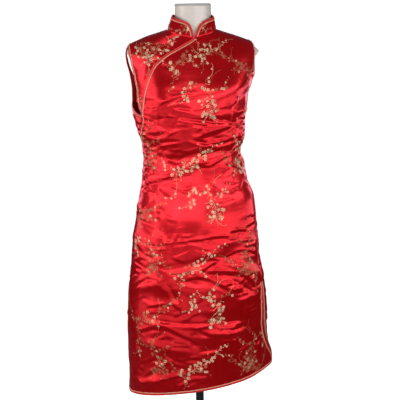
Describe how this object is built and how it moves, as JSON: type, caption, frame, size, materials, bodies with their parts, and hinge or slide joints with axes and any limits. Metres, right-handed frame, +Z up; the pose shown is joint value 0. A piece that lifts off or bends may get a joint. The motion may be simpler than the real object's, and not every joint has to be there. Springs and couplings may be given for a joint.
{
  "type": "cheongsam dress on dress form",
  "caption": "Sleeveless cheongsam dress with standing collar, curved side placket, bound edges and side slits, hung on a limbless dress form with a pole and round base.",
  "frame": {"origin": "centre of the round base's underside", "axes": "+Z up along the pole, -Y towards the front of the dress, +X towards the wearer's left"},
  "size_m": [0.4445, 0.38, 1.497],
  "materials": {
    "brocade_satin": "deep red satin brocade with pale gold plum blossom sprigs",
    "binding_satin": "plain orange-red satin bias binding",
    "gold_piping": "fine pale gold cord",
    "form_shell": "smooth cream moulded shell, soft gloss",
    "black_metal": "black gloss enamel"
  },
  "bodies": {
    "root": {"dress_front": "brocade_satin", "dress_back": "brocade_satin", "dress_under_lap": "brocade_satin", "collar": "brocade_satin", "binding_collar": "binding_satin", "piping_collar": "gold_piping", "binding_placket": "binding_satin", "piping_placket": "gold_piping", "binding_armhole_right": "binding_satin", "piping_armhole_right": "gold_piping", "binding_armhole_left": "binding_satin", "piping_armhole_left": "gold_piping", "binding_hem_front": "binding_satin", "piping_hem_front": "gold_piping", "binding_hem_back": "binding_satin", "piping_hem_back": "gold_piping", "dress_form": "form_shell", "stand_pole": "black_metal", "stand_base": "black_metal"}
  },
  "joints": []
}
